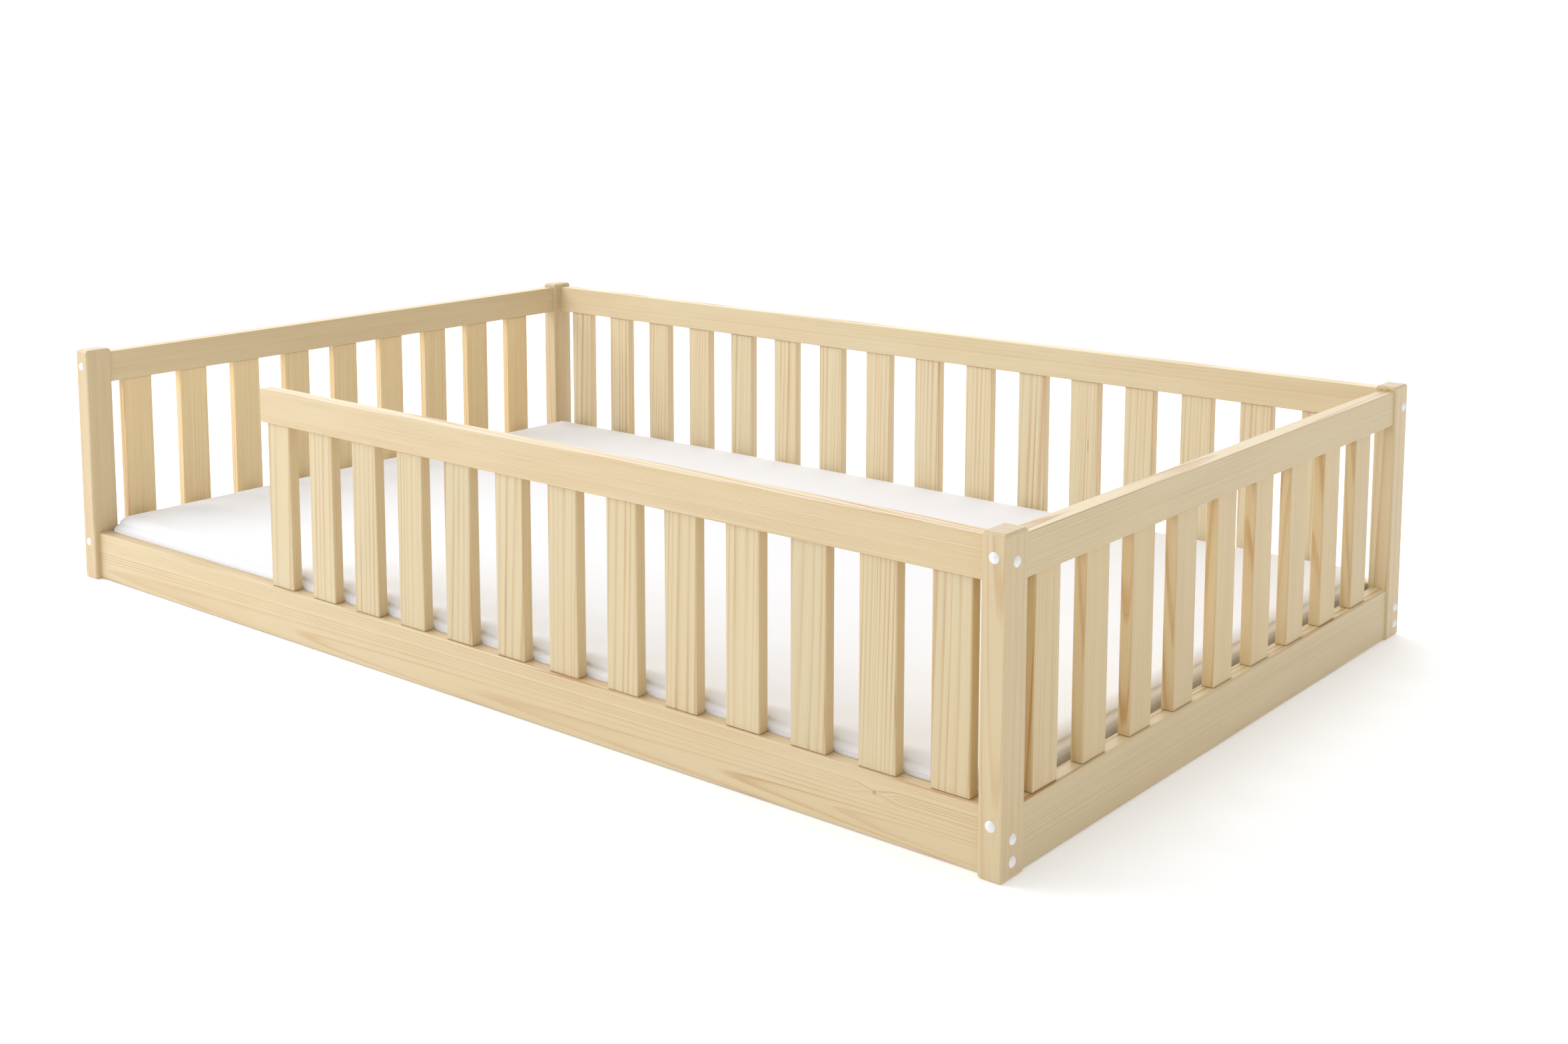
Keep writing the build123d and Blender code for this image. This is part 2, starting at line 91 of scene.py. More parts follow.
# The mattress, in metres.
CORNER_RADIUS = 0.020
TOP_EDGE_RADIUS = 0.021
RIGHT_EDGE_RADIUS = 0.030
FOOT_EDGE_RADIUS = 0.015
EDGE_DROP = 0.0024
EDGE_DROP_REACH = 0.16
CROWN = 0.0012
UNEVENNESS = 0.0007
RIPPLE = 0.0005
CREASE_HEIGHT = 0.1065
CREASE_WIDTH = 0.0032
CREASE_DEPTH = 0.0046
SIDE_SLOPE = 0.5
BULGE_IN_GAP = 0.0095
BULGE_AT_SLAT = 0.0055
BULGE_BEHIND_RAIL = 0.0018
BACK_BULGE = 0.0022
SLAT_HOLDS_TO = 0.026
GAP_FREE_FROM = 0.048
FOLD_STEP = 0.0002
FOLD_STEPS = 4
FOLD_CLEARANCE = 0.0012

# The webbing straps, in metres.
STRAP_WIDE = 0.030
STRAP_RIBS = 12
STRAP_STEPS = 280
STRAP_SAG = 0.0011
STRAP_RIB_HEIGHT = 0.00012
STRAP_EDGE_THINNING = 0.0004

# Light. The sky glows low behind the bed's left end.
SKY_STRENGTH = 0.725
GLOW_TOWARDS = (-0.75, 0.62, 0.38)
GLOW_EDGE = 0.45
GLOW_STRENGTH = 2.0
FLOOR_SIZE = 30.0
FLOOR_GLOW = 0.21
FLOOR_GLOW_COLOUR = (0.93, 0.97, 1.0, 1.0)
SUN = {"place": (-2.4, -1.9, 4.2), "aim": (0.0, 0.0, 0.0), "strength": 0.33, "colour": (1.0, 0.99, 0.97)}
SUN_ANGLE = 70.0
KEY = {"place": (-3.4, -2.6, 2.9), "aim": (-0.4, 0.0, 0.2), "strength": 90.0, "colour": (0.98, 1.0, 1.05)}
KEY_SIZE = 3.2

# The viewing angle, in metres and degrees.
CAMERA_PLACE = (2.2334, -2.5273, 1.0497)
CAMERA_TILT = 7.212
CAMERA_TURN = 39.685
CAMERA_LENS = 43.33
CAMERA_SHIFT = (0.0115, -0.162)


def feed(place, value):
    """Feeds an input: another node's output is linked, anything else is its value."""
    if isinstance(value, bpy.types.NodeSocket):
        place.id_data.links.new(value, place)
    else:
        place.default_value = value


def by_axes(vector, axes):
    """The parts of a split vector along the named axes."""
    return [vector["XYZ".index(axis)] for axis in axes]


class Shader:
    """A material whose nodes are made by short calls; each call returns an output socket."""

    def __init__(self, name):
        self.material = bpy.data.materials.new(name)
        self.material.use_nodes = True
        self.tree = self.material.node_tree
        self.tree.nodes.clear()
        self.surface = self.tree.nodes.new("ShaderNodeBsdfPrincipled")
        output = self.tree.nodes.new("ShaderNodeOutputMaterial")
        self.tree.links.new(self.surface.outputs["BSDF"], output.inputs["Surface"])

    def node(self, kind, settings=None, inputs=None):
        made = self.tree.nodes.new("ShaderNode" + kind)
        for key, value in (settings or {}).items():
            setattr(made, key, value)
        for key, value in (inputs or {}).items():
            feed(made.inputs[key], value)
        return made

    def place(self):
        """The point's place on the object, in metres."""
        return self.node("TexCoord").outputs["Object"]

    def maths(self, operation, first, second=0.0, third=0.0):
        inputs = {0: first, 1: second, 2: third}
        return self.node("Math", {"operation": operation}, inputs).outputs[0]

    def times(self, first, second):
        return self.maths("MULTIPLY", first, second)

    def vary(self, value, least, spread):
        """From least to least plus spread, as the value goes from 0 to 1."""
        return self.maths("MULTIPLY_ADD", value, spread, least)

    def vectors(self, operation, first, second=(0.0, 0.0, 0.0)):
        return self.node("VectorMath", {"operation": operation}, {0: first, 1: second}).outputs[0]

    def length(self, vector):
        return self.node("VectorMath", {"operation": "LENGTH"}, {0: vector}).outputs["Value"]

    def split(self, vector):
        return self.node("SeparateXYZ", inputs={0: vector}).outputs

    def vector(self, x, y, z):
        return self.node("CombineXYZ", inputs={0: x, 1: y, 2: z}).outputs[0]

    def clouds(self, vector, scale, detail=2.0, roughness=0.5):
        inputs = {"Vector": vector, "Scale": scale, "Detail": detail, "Roughness": roughness}
        return self.node("TexNoise", inputs=inputs).outputs["Fac"]

    def span(self, value, low, high, new_low=0.0, new_high=1.0):
        """Maps a range to another, smoothly and held at its ends."""
        settings = {"clamp": True, "interpolation_type": "SMOOTHSTEP"}
        inputs = {"Value": value, "From Min": low, "From Max": high, "To Min": new_low, "To Max": new_high}
        return self.node("MapRange", settings, inputs).outputs[0]

    def profile(self, value, stops):
        """A grey ramp through (place, level) stops."""
        ramp = self.node("ValToRGB", inputs={0: value})
        elements = ramp.color_ramp.elements
        elements[0].position, elements[1].position = stops[0][0], stops[-1][0]
        for place, _ in stops[1:-1]:
            elements.new(place)
        for element, (_, level) in zip(elements, stops):
            element.color = (level, level, level, 1.0)
        return ramp.outputs[0]

    def mix(self, share, first, second, blend="MIX"):
        made = self.node("Mix", {"data_type": "RGBA", "blend_type": blend}, {"Factor": share})
        for place, colour in ((made.inputs[6], first), (made.inputs[7], second)):
            feed(place, colour if isinstance(colour, bpy.types.NodeSocket) else (*colour, 1.0))
        return made.outputs[2]

    def finish(self, colour, roughness, height, depth, **constants):
        """Feeds the surface. Depth is the relief's height in metres; constants are plain socket values."""
        feed(self.surface.inputs["Base Color"], colour)
        feed(self.surface.inputs["Roughness"], roughness)
        bump = self.node("Bump", inputs={"Height": height, "Distance": depth, "Strength": 1.0})
        feed(self.surface.inputs["Normal"], bump.outputs[0])
        for key, value in constants.items():
            self.surface.inputs[key.replace("_", " ")].default_value = value
        return self.material


def board_place(shader, place, axes, cells, offsets):
    """Three random numbers for each board, and a point's place across it, through it and along it."""
    boxes = shader.vectors("ADD", shader.vectors("DIVIDE", place, cells), offsets)
    board = shader.node("TexWhiteNoise", {"noise_dimensions": "3D"}, {0: shader.vectors("FLOOR", boxes)})
    middle = shader.vectors("SUBTRACT", shader.vectors("FRACTION", boxes), (HALF_CELL,) * 3)
    local = shader.split(shader.vectors("MULTIPLY", middle, cells))
    return shader.split(board.outputs["Color"]), by_axes(local, axes)


def bend_round_knot(shader, place, axes, knot, radius):
    """The distance from the pith with the rings pushed aside by a knot, and the knot's stain."""
    *middle, size = knot
    away = shader.vectors("SUBTRACT", place, middle)
    rise, into, run = by_axes(shader.split(away), axes)
    stretched = shader.vector(shader.times(run, 0.35), rise, shader.times(into, 0.35))
    near = shader.span(shader.length(stretched), 0.0, size * 4.0, 1.0, 0.0)
    push = shader.times(near, shader.maths("SIGN", rise))
    radius = shader.maths("MULTIPLY_ADD", push, size * 0.9, radius)
    return radius, shader.span(shader.length(away), size * 0.35, size, 0.7, 0.0)


def resin_streak(shader, place, axes, streak):
    """The stain of a thin streak along the grain."""
    *middle, half_width, half_length = streak
    rise, into, run = by_axes(shader.split(shader.vectors("SUBTRACT", place, middle)), axes)
    shares = shader.vector(shader.maths("DIVIDE", run, half_length), shader.maths("DIVIDE", rise, half_width),
                           shader.maths("DIVIDE", into, half_width * 4.0))
    return shader.span(shader.length(shares), 0.3, 1.0, 0.95, 0.0)


def late_wood(shader, radius, luck):
    """Rings: pale early wood that darkens slowly into a thin line of late wood, then starts again."""
    spacing = shader.vary(luck[2], 0.0020, 0.0014)
    uneven = shader.clouds(shader.vector(radius, luck[0], 0.0), 130.0, 1.0)
    turns = shader.maths("DIVIDE", shader.maths("MULTIPLY_ADD", uneven, 0.0075, radius), spacing)
    stops = ((0.0, 0.8), (0.09, 0.08), (0.45, 0.04), (0.72, 0.28), (0.90, 1.0), (1.0, 0.8))
    late = shader.profile(shader.maths("FRACT", turns), stops)
    ring = shader.node("TexWhiteNoise", {"noise_dimensions": "1D"}, {"W": shader.maths("FLOOR", turns)})
    return shader.times(late, shader.vary(ring.outputs["Value"], 0.35, 0.65))


def pine(name, grain, wide, cells, offsets=(HALF_CELL,) * 3, tint=(1.0, 1.0, 1.0), knots=(), streaks=(),
         roughness=0.42, taper=0.006, painted_side_shade=0.0, side_rings=1.2):
    """Planed pine, cut so that its rings cross the wide axis.

    Cells are the sizes, in metres along X, Y and Z, of boxes that each hold one board. Offsets move them by
    shares of a box, so that each board gets its own place in the tree. Knots are (x, y, z, radius) in metres,
    and streaks of resin (x, y, z, half width, half length). Taper is how fast the rings drift along the board.
    Painted side shade is how much deeper and more orange the narrow faces are painted, a painted shade with
    warm bounced light between boards, and side rings how much stronger their rings.
    """
    thin = next(axis for axis in "XYZ" if axis not in (grain, wide))
    axes = (wide, thin, grain)
    shader = Shader(name)
    maths, times, vary = shader.maths, shader.times, shader.vary
    coordinates = shader.node("TexCoord").outputs
    place = coordinates["Object"]
    luck, (across, through, along) = board_place(shader, place, axes, cells, offsets)
    wide_facing, _, grain_facing = by_axes(shader.split(coordinates["Normal"]), axes)
    narrow_face = maths("ABSOLUTE", wide_facing)
    cut_end = shader.span(maths("ABSOLUTE", grain_facing), 0.75, 0.95)

    # Where the middle of the tree lies beside the board, and how far along the tree the board was.
    side = maths("SIGN", maths("SUBTRACT", luck[0], 0.5))
    gap_across = maths("SUBTRACT", across, times(side, vary(luck[1], 0.10, 0.10)))
    gap_through = maths("SUBTRACT", through, vary(luck[2], 0.018, 0.05))
    up_tree = maths("MULTIPLY_ADD", luck[1], 9.0, along)

    def slow(scale, stretch, detail=1.0):
        """A soft pattern drawn out along the grain."""
        return shader.clouds(shader.vector(across, through, times(up_tree, stretch)), scale, detail)

    # The distance from the pith, which drifts and waves along the board.
    radius = maths("SQRT", maths("ADD", times(gap_across, gap_across), times(gap_through, gap_through)))
    radius = maths("MULTIPLY_ADD", times(side, up_tree), taper, radius)
    radius = maths("MULTIPLY_ADD", slow(14.0, 0.06), 0.0055, radius)
    radius = maths("MULTIPLY_ADD", slow(110.0, 0.03), 0.0007, radius)
    stain = 0.0
    for knot in knots:
        radius, mark = bend_round_knot(shader, place, axes, knot, radius)
        stain = maths("ADD", stain, mark)
    for streak in streaks:
        stain = maths("ADD", stain, resin_streak(shader, place, axes, streak))

    # Rings fade in and out in patches, and show more on narrow faces and cut ends.
    late = times(late_wood(shader, radius, luck), shader.span(slow(34.0, 0.12, 2.0), 0.32, 0.68, 0.45, 1.0))
    late = times(late, vary(narrow_face, 1.0, side_rings))
    late = times(late, vary(cut_end, 1.0, 0.6))
    fibre = slow(950.0, 0.012, 3.0)
    flecks = shader.span(slow(1500.0, 0.02, 2.0), 0.66, 0.80)
    cloudy = shader.span(slow(9.0, 0.25, 2.0), 0.3, 0.7)

    colour = shader.mix(times(late, 0.85), PINE_EARLY, PINE_LATE)
    # Narrow faces are painted deeper orange: painted shade and bounced light between neighbouring boards.
    if painted_side_shade:
        colour = shader.mix(times(narrow_face, painted_side_shade), colour, PINE_WARM)
    colour = shader.mix(times(cloudy, 0.22), colour, PINE_WARM)
    colour = shader.mix(times(flecks, 0.16), colour, PINE_LATE)
    shade = times(vary(fibre, 0.92, 0.16), vary(luck[0], 0.965, 0.07))
    shade = times(shade, vary(cut_end, 1.0, -0.10))
    colour = shader.mix(1.0, colour, shader.vector(*(times(shade, part) for part in tint)), "MULTIPLY")
    if knots or streaks:
        colour = shader.mix(stain, colour, PINE_KNOT)
    rough = vary(fibre, roughness - 0.07, 0.14)
    relief = maths("MULTIPLY_ADD", late, 0.5, fibre)
    return shader.finish(colour, rough, relief, WOOD_RELIEF, Specular_IOR_Level=0.55)


def plastic(name, colour):
    """Moulded plastic with a faint skin and slight unevenness of tone."""
    shader = Shader(name)
    place = shader.place()
    skin = shader.clouds(place, 900.0, 3.0)
    tone = shader.clouds(place, 60.0, 1.0)
    darker = tuple(part * 0.93 for part in colour)
    rough = shader.span(skin, 0.3, 0.7, 0.24, 0.36)
    return shader.finish(shader.mix(tone, darker, colour), rough, skin, 0.00003)


def steel(name, colour):
    """Zinc-plated steel with fine turning marks."""
    shader = Shader(name)
    place = shader.place()
    marks = shader.clouds(shader.vectors("MULTIPLY", place, (3000.0, 3000.0, 400.0)), 1.0, 2.0)
    spots = shader.clouds(place, 220.0, 3.0)
    darker = tuple(part * 0.8 for part in colour)
    rough = shader.span(marks, 0.2, 0.8, 0.28, 0.45)
    return shader.finish(shader.mix(spots, darker, colour), rough, marks, 0.00002, Metallic=1.0)


def woven(name, colour, thread, depth, relax=0.0, **constants):
    """Plain-woven cloth, on every side.

    Thread is the spacing of its threads and depth its relief, in metres. Relax adds soft slack between them.
    """
    shader = Shader(name)
    maths, times = shader.maths, shader.times
    place = shader.place()
    turn = math.tau / (2.0 * thread)
    x, y, z = (maths("SINE", axis) for axis in shader.split(shader.vectors("MULTIPLY", place, (turn,) * 3)))
    weave = maths("ADD", maths("ADD", times(x, y), times(z, x)), times(y, z))
    slub = shader.clouds(shader.vectors("MULTIPLY", place, (60.0, 60.0, 400.0)), 1.0, 3.0)
    tone = shader.clouds(place, 5.0, 2.0)
    fuzz = shader.clouds(place, 2600.0, 2.0)
    darker = tuple(part * 0.955 for part in colour)
    finished = shader.mix(shader.span(weave, -1.2, 1.2, 0.0, 0.35), colour, darker)
    finished = shader.mix(times(tone, 0.3), finished, darker)
    height = maths("MULTIPLY_ADD", weave, 0.35, times(slub, 0.4))
    height = maths("ADD", height, times(shader.clouds(place, 14.0, 2.0), relax))
    height = maths("MULTIPLY_ADD", fuzz, 0.25, height)
    rough = shader.span(fuzz, 0.2, 0.8, 0.78, 0.92)
    return shader.finish(finished, rough, height, depth, **constants)


def dress(names, material):
    """Gives CAD nodes a material."""
    for name in names:
        slots = NODES[name].material_slots
        for place in slots:
            place.material = material
        if not slots:
            NODES[name].data.materials.append(material)


def named(start):
    return [name for name in NODES if name.startswith(start)]


def middle_along(name, axis):
    """The middle of a node's box along x or y."""
    low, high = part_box(name)
    return (getattr(low, axis) + getattr(high, axis)) / 2


def centred(first, pitch):
    """The offset that puts the first board in the middle of a cell of the given pitch."""
    return HALF_CELL - first / pitch


def bed_slat_rhythm():
    """The pitch of the bed slats, and the middle of the first one."""
    low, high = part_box("bed_slats")
    return (high.x - low.x - BED_SLAT_WIDE) / BED_SLAT_STEPS, low.x + BED_SLAT_WIDE / 2


def dress_posts_and_rails():
    """Pine for the frame's posts and rails. The grain follows each board's length."""
    half_length, half_width, rail_height = 2.0, 1.2, 0.25
    dress(named("post_"), pine("pine_posts", "Z", "Y", (half_length, half_width, LONG_CELL),
                               (0.0, 0.0, HALF_CELL), POST_TINT, taper=0.009, side_rings=0.1))

    knot = (KNOT_X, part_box("front_bottom_rail")[0].y, KNOT_Z, KNOT_RADIUS)
    long_cells = (LONG_CELL, half_width, rail_height)
    # The back rails' multiplier is painted light for the shade inside the bed.
    for side, tint, knots in (("front", FRONT_RAIL_TINT, [knot]), ("back", BACK_RAIL_PAINTED_LIGHT, [])):
        dress([f"{side}_bottom_rail", f"{side}_top_rail"],
              pine(f"pine_{side}_rails", "X", "Z", long_cells, (HALF_CELL, 0.0, 0.0), tint, knots))

    side_cells = (half_length, LONG_CELL, rail_height)
    # The right rails' multiplier is painted shade on the end away from the light.
    for side, tint in (("left", (1.0, 1.0, 1.0)), ("right", RIGHT_RAIL_PAINTED_SHADE)):
        dress([f"{side}_bottom_rail", f"{side}_top_rail"],
              pine(f"pine_{side}_rails", "Y", "Z", side_cells, (0.0, HALF_CELL, 0.0), tint))


def dress_upright_slats():
    """Pine for the upright slats: each has a cell of its own."""
    first = middle_along("front_baluster_01", "x")
    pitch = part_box("front_baluster_02")[0].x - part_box("front_baluster_01")[0].x
    dress(named("front_baluster_"), pine("pine_front_slats", "Z", "X", (pitch, LONG_CELL, LONG_CELL),
                                         (centred(first, pitch), HALF_CELL, HALF_CELL), FRONT_SLAT_TINT,
                                         painted_side_shade=0.65))

    half_length = 2.0
    first = middle_along("right_baluster_1", "y")
    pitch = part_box("right_baluster_2")[0].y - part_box("right_baluster_1")[0].y
    # The right slats are painted darker and warmer, painted shade; the left slats are painted lighter, painted
    # light.
    for side, tint in (("right", RIGHT_SLAT_PAINTED_SHADE), ("left", LEFT_SLAT_PAINTED_LIGHT)):
        dress(named(side + "_baluster_"),
              pine(f"pine_{side}_slats", "Z", "Y", (half_length, pitch, LONG_CELL),
                   (0.0, centred(first, pitch), HALF_CELL), tint, taper=0.011, painted_side_shade=0.3))

    # The back slats step by two pitches; cells of their average pitch still hold one slat each.
    low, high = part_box("back_balusters")
    slat_low, slat_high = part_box("front_baluster_01")
    slat_wide = slat_high.x - slat_low.x
    pitch = (high.x - low.x - slat_wide) / BACK_SLAT_STEPS
    first = low.x + slat_wide / 2 + BACK_CELL_SHIFT
    streak = (STREAK_X, low.y, STREAK_Z, STREAK_HALF_WIDTH, STREAK_HALF_LENGTH)
    # The back slats are painted lighter and paler: painted light for the shade inside the bed.
    dress(["back_balusters"], pine("pine_back_slats", "Z", "X", (pitch, LONG_CELL, LONG_CELL),
                                   (centred(first, pitch), HALF_CELL, HALF_CELL), BACK_SLAT_PAINTED_LIGHT,
                                   streaks=[streak], painted_side_shade=0.4))


def dress_base():
    """Plainer pine for the slat base, and the materials of the fasteners."""
    pitch, first = bed_slat_rhythm()
    dress(["bed_slats"], pine("pine_bed_slats", "Y", "X", (pitch, LONG_CELL, LONG_CELL),
                              (centred(first, pitch), HALF_CELL, HALF_CELL), BASE_TINT,
                              roughness=SAWN_ROUGHNESS))
    dress(["front_ledger", "back_ledger", "centre_runner"],
          pine("pine_battens", "X", "Y", (LONG_CELL, 0.4, LONG_CELL), tint=BASE_TINT,
               roughness=SAWN_ROUGHNESS))
    dress(["rail_dowels", "baluster_dowels"],
          pine("beech_dowels", "Z", "X", (0.05, 0.05, LONG_CELL), tint=DOWEL_TINT, roughness=0.6))
    dress(["frame_screws_short", "frame_screws_long", "ledger_screws", "slat_screws", "strap_staples"],
          steel("zinc_steel", STEEL))


def mesh_piece(name, cage, material, body):
    """Makes a visible piece of a finished cage, which is freed."""
    mesh = bpy.data.meshes.new(name)
    cage.to_mesh(mesh)
    cage.free()
    piece = bpy.data.objects.new(name, mesh)
    bpy.context.scene.collection.objects.link(piece)
    piece.data.materials.append(material)
    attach(piece, body)
    return piece


def edge_steps(half, fine, fine_reach, coarse):
    """Places from -half to half, close together near both ends."""
    fine_count = round(fine_reach / fine)
    inner = half - fine_reach
    coarse_count = round(2 * inner / coarse)
    ends = [index * fine_reach / fine_count for index in range(fine_count)]
    middle = [-inner + index * 2 * inner / coarse_count for index in range(coarse_count + 1)]
    return [-half + step for step in ends] + middle + [half - step for step in reversed(ends)]


def smooth(value, low, high):
    share = min(max((value - low) / (high - low), 0.0), 1.0)
    return share * share * (3 - 2 * share)


def square_to_round(first, second):
    """Moves a point of a square, both measured from its middle, to the disc of the same reach."""
    reach = max(abs(first), abs(second))
    length = math.hypot(first, second)
    if length == 0:
        return first, second
    return first / length * reach, second / length * reach


def round_in_plan(x, y, half):
    """Rounds the corners in plan. Also gives the outward direction and the distance in from the outline."""
    beyond_x = max(abs(x) - (half.x - CORNER_RADIUS), 0.0)
    beyond_y = max(abs(y) - (half.y - CORNER_RADIUS), 0.0)
    sign_x = 1 if x > 0 else -1
    sign_y = 1 if y > 0 else -1
    if beyond_x > 0 and beyond_y > 0:
        new_x, new_y = square_to_round(beyond_x, beyond_y)
        length = math.hypot(new_x, new_y)
        outward = Vector((sign_x * new_x / length, sign_y * new_y / length, 0))
        x += sign_x * (new_x - beyond_x)
        y += sign_y * (new_y - beyond_y)
        return x, y, outward, CORNER_RADIUS - length
    if half.x - abs(x) < half.y - abs(y):
        return x, y, Vector((sign_x, 0, 0)), half.x - abs(x)
    return x, y, Vector((0, sign_y, 0)), half.y - abs(y)


def front_bulge(x, height, depth, rail_top, slats):
    """How far the front presses out: a little behind the rail, more against a slat, most in a gap."""
    nearest = min(abs(x - middle) for middle in slats)
    gap_share = smooth(nearest, SLAT_HOLDS_TO, GAP_FREE_FROM)
    above = BULGE_AT_SLAT + (BULGE_IN_GAP - BULGE_AT_SLAT) * gap_share
    above *= 1 - SIDE_SLOPE * smooth(height, rail_top + 0.001, CREASE_HEIGHT + 0.002)
    above_rail = smooth(height, rail_top - 2 * FOLD_STEP, rail_top + FOLD_STEP / 2)
    return (BULGE_BEHIND_RAIL + (above - BULGE_BEHIND_RAIL) * above_rail) * smooth(depth, 0.0, 0.02)


def back_bulge(outward, depth, lean, half):
    """How far the back and the ends swell at half height, less where they lie close to wood."""
    bulge = BACK_BULGE * math.sin(math.pi * min(depth / (2 * half.z), 1.0)) ** 0.5 * (1 - lean * 0.5)
    if outward.y > 0.5 or outward.x < 0:
        bulge *= 0.6
    return bulge


def mattress_point(x, y, z, half, middle, rail_top, slats):
    """A point on the box's surface, moved to the soft outline of the mattress."""
    x, y, outward, inset = round_in_plan(x, y, half)

    # Round the long edges. Lean is how far the surface has turned up or down from the side.
    edge = FOOT_EDGE_RADIUS
    if z > 0:
        edge = TOP_EDGE_RADIUS + (RIGHT_EDGE_RADIUS - TOP_EDGE_RADIUS) * smooth(outward.x, 0.0, 1.0)
    depth = half.z - abs(z)
    place = Vector((x, y, z))
    lean = 0.0
    if inset < edge and depth < edge:
        new_inset, new_depth = square_to_round(edge - inset, edge - depth)
        place += outward * (new_inset - (edge - inset))
        shift = new_depth - (edge - depth)
        place.z += shift if z > 0 else -shift
        lean = new_inset / edge
        inset, depth = edge - new_inset, edge - new_depth

    # The top is slightly crowned.
    height = place.z + middle.z
    if z > 0 and depth < edge:
        in_from_edge = min(inset / half.y, 1.0)
        place.z -= EDGE_DROP * (1 - smooth(inset, 0.0, EDGE_DROP_REACH))
        place.z += CROWN * math.sin(in_from_edge * math.pi / 2) - CROWN
        place.z += UNEVENNESS * noise.noise(Vector((place.x * 3.3, place.y * 3.3, 0.0)))

    # Sides swell where nothing holds them in, and a crease runs round them.
    side_share = 1 - smooth(inset, 0.0, edge * 0.9)
    if side_share > 0 and depth > 0.002:
        ripple = RIPPLE * noise.noise(Vector((place.x * 9.0, place.y * 9.0, place.z * 12.0)))
        bulge = back_bulge(outward, depth, lean, half)
        front = front_bulge(place.x + middle.x, height, depth, rail_top, slats)
        bulge += (front - bulge) * smooth(-outward.y, 0.5, 0.95)
        strength = 0.75 + 0.6 * noise.noise(Vector((place.x * 2.1, place.y * 2.1, 3.0)))
        crease = math.exp(-(((height - CREASE_HEIGHT) / CREASE_WIDTH) ** 2)) * CREASE_DEPTH * strength
        place += outward * ((bulge + ripple) * side_share - crease)
    return place + middle


def grid_surface(last_i, last_j, last_k):
    """The faces on the outside of a grid, each as the four (i, j, k) of its corners, wound to face out."""
    for i in range(last_i):
        for j in range(last_j):
            yield (i, j, last_k), (i + 1, j, last_k), (i + 1, j + 1, last_k), (i, j + 1, last_k)
            yield (i, j, 0), (i, j + 1, 0), (i + 1, j + 1, 0), (i + 1, j, 0)
    for k in range(last_k):
        for i in range(last_i):
            yield (i, 0, k), (i + 1, 0, k), (i + 1, 0, k + 1), (i, 0, k + 1)
            yield (i, last_j, k), (i, last_j, k + 1), (i + 1, last_j, k + 1), (i + 1, last_j, k)
        for j in range(last_j):
            yield (0, j, k), (0, j, k + 1), (0, j + 1, k + 1), (0, j + 1, k)
            yield (last_i, j, k), (last_i, j + 1, k), (last_i, j + 1, k + 1), (last_i, j, k + 1)


def build_mattress(material):
    """A foam mattress in a stretched white cover, with soft edges and sides that press out between slats."""
    low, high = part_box("mattress_cover")
    middle, half = (low + high) / 2, (high - low) / 2
    rail_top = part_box("front_bottom_rail")[1].z
    slats = [middle_along(name, "x") for name in named("front_baluster_")]

    # Mesh levels are close together near the edges, and closest where the side folds over the front rail.
    xs, ys = (edge_steps(reach, 0.003, 0.048, 0.0085) for reach in (half.x, half.y))
    fold = rail_top - middle.z
    zs = [z for z in edge_steps(half.z, 0.0026, 0.026, 0.0035) if abs(z - fold) > FOLD_CLEARANCE]
    zs += [fold + step * FOLD_STEP for step in range(-FOLD_STEPS, FOLD_STEPS + 1)]
    zs.sort()

    cage = bmesh.new()
    made = {}
    for corners in grid_surface(len(xs) - 1, len(ys) - 1, len(zs) - 1):
        for i, j, k in corners:
            if (i, j, k) not in made:
                point = mattress_point(xs[i], ys[j], zs[k], half, middle, rail_top, slats)
                made[i, j, k] = cage.verts.new(point)
        cage.faces.new([made[corner] for corner in corners]).smooth = True
    mattress = mesh_piece("mattress", cage, material, "mattress")
    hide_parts("mattress_cover", "mattress_core")


def strap_ring(cage, x, middle_y, low_z, high_z, sag):
    """One loop of points round a strap, with ribs along it and thin edges."""
    ring = []
    for side, face_z in ((1, high_z - 0.00005), (-1, low_z + 0.0001)):
        for rib in range(STRAP_RIBS + 1):
            share = rib / STRAP_RIBS if side > 0 else 1 - rib / STRAP_RIBS
            ridge = abs(STRAP_RIB_HEIGHT * math.cos(share * math.tau * STRAP_RIBS / 2))
            thinning = STRAP_EDGE_THINNING * abs(2 * share - 1) ** 8
            y = middle_y + (share - 0.5) * STRAP_WIDE
            ring.append(cage.verts.new((x, y, face_z - sag - side * (ridge + thinning))))
    return ring


def build_straps(material):
    """Two webbing straps under the bed slats, which hang a little between them."""
    low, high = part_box("slat_straps")
    pitch, first = bed_slat_rhythm()
    for number, middle_y in enumerate((low.y + STRAP_WIDE / 2, high.y - STRAP_WIDE / 2), 1):
        cage = bmesh.new()
        rings = []
        for step in range(STRAP_STEPS + 1):
            x = low.x + (high.x - low.x) * step / STRAP_STEPS
            sag = STRAP_SAG * (0.5 - 0.5 * math.cos(math.tau * (x - first) / pitch)) ** 2
            rings.append(strap_ring(cage, x, middle_y, low.z, high.z, sag))
        for before, after in zip(rings, rings[1:]):
            for index in range(len(before)):
                beside = (index + 1) % len(before)
                corners = (before[index], before[beside], after[beside], after[index])
                cage.faces.new(corners).smooth = True
        cage.faces.new(rings[0][::-1])
        cage.faces.new(rings[-1])
        bmesh.ops.recalc_face_normals(cage, faces=cage.faces)
        strap = mesh_piece(f"base_strap_{number}", cage, material, "slat_base")
        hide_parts("slat_straps")


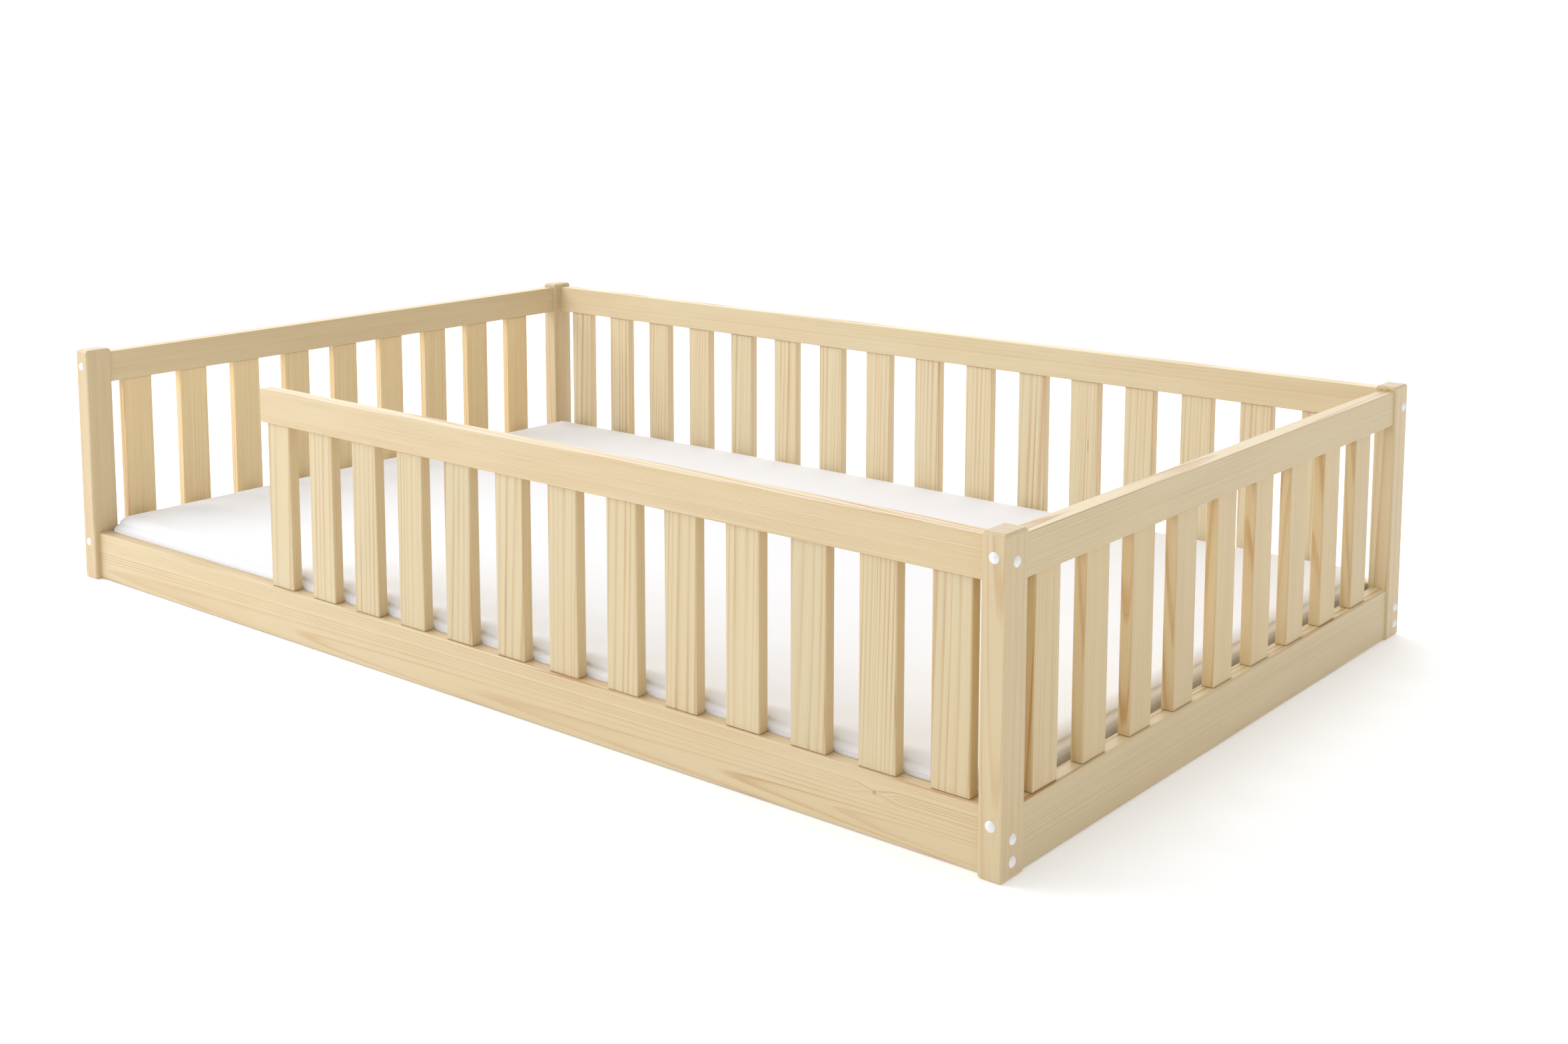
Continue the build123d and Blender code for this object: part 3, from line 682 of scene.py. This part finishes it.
def build_sky():
    """A white sky, brightest low behind the bed's left end, and plain white where it is seen directly."""
    world = bpy.data.worlds.new("studio")
    world.use_nodes = True
    tree = world.node_tree
    sky = tree.nodes["Background"]
    sky.inputs["Color"].default_value = (1.0, 1.0, 1.0, 1.0)
    place = tree.nodes.new("ShaderNodeTexCoord")
    facing = tree.nodes.new("ShaderNodeVectorMath")
    facing.operation = "DOT_PRODUCT"
    facing.inputs[1].default_value = Vector(GLOW_TOWARDS).normalized()
    tree.links.new(place.outputs["Generated"], facing.inputs[0])
    glow = tree.nodes.new("ShaderNodeMapRange")
    glow.interpolation_type = "SMOOTHSTEP"
    glow.inputs["From Min"].default_value = GLOW_EDGE
    glow.inputs["From Max"].default_value = 1.0
    glow.inputs["To Min"].default_value = SKY_STRENGTH
    glow.inputs["To Max"].default_value = GLOW_STRENGTH
    tree.links.new(facing.outputs["Value"], glow.inputs["Value"])
    path = tree.nodes.new("ShaderNodeLightPath")
    seen = tree.nodes.new("ShaderNodeMath")
    seen.operation = "MAXIMUM"
    tree.links.new(glow.outputs[0], seen.inputs[0])
    tree.links.new(path.outputs["Is Camera Ray"], seen.inputs[1])
    tree.links.new(seen.outputs[0], sky.inputs["Strength"])
    bpy.context.scene.world = world


def build_floor():
    """A plain white paper floor."""
    mesh = bpy.data.meshes.new("floor")
    corners = [(x * FLOOR_SIZE, y * FLOOR_SIZE, 0) for x, y in ((-1, -1), (1, -1), (1, 1), (-1, 1))]
    mesh.from_pydata(corners, [], [(0, 1, 2, 3)])
    floor = bpy.data.objects.new("floor", mesh)
    bpy.context.scene.collection.objects.link(floor)
    shader = Shader("floor_paper")
    tooth = shader.clouds(shader.place(), 300.0, 2.0)
    paper = shader.mix(tooth, PAPER_DARK, PAPER_LIGHT)
    floor.data.materials.append(shader.finish(paper, 0.9, tooth, 0.00005, Specular_IOR_Level=0.1,
                                              Emission_Color=FLOOR_GLOW_COLOUR, Emission_Strength=FLOOR_GLOW))


def add_light(name, kind, place, aim, strength, colour):
    light = bpy.data.lights.new(name, kind)
    light.energy = strength
    light.color = colour
    holder = bpy.data.objects.new(name, light)
    holder.location = place
    holder.rotation_euler = (Vector(aim) - Vector(place)).to_track_quat("-Z", "Y").to_euler()
    bpy.context.scene.collection.objects.link(holder)
    return light


def build_stage():
    """A plain white floor, a white sky and two soft lights."""
    build_floor()
    build_sky()
    sun = add_light("sun", "SUN", **SUN)
    sun.angle = math.radians(SUN_ANGLE)
    key = add_light("key", "AREA", **KEY)
    key.shape = "DISK"
    key.size = KEY_SIZE
    settings = bpy.context.scene.view_settings
    settings.view_transform = "Standard"
    settings.look = "None"
    settings.exposure = 0.0
    settings.gamma = 1.0


def build_camera():
    """The viewing angle: above the front right corner, looking along the bed to its left."""
    data = bpy.data.cameras.new("camera")
    data.sensor_width = 36.0
    data.lens = CAMERA_LENS
    data.shift_x, data.shift_y = CAMERA_SHIFT
    data.clip_end = 100.0
    camera = bpy.data.objects.new("camera", data)
    camera.location = CAMERA_PLACE
    camera.rotation_euler = (math.radians(90 - CAMERA_TILT), 0.0, math.radians(CAMERA_TURN))
    bpy.context.scene.collection.objects.link(camera)
    bpy.context.scene.camera = camera


dress_posts_and_rails()
dress_upright_slats()
dress_base()
dress(["screw_caps"], plastic("cap_plastic", CAP_WHITE))
cover_cloth = woven("cover_cloth", CLOTH_WHITE, 0.0006, 0.00008, 0.8, Sheen_Weight=0.12, Sheen_Roughness=0.5)
build_mattress(cover_cloth)
build_straps(woven("strap_webbing", WEBBING, 0.0012, 0.0003))
build_stage()
build_camera()
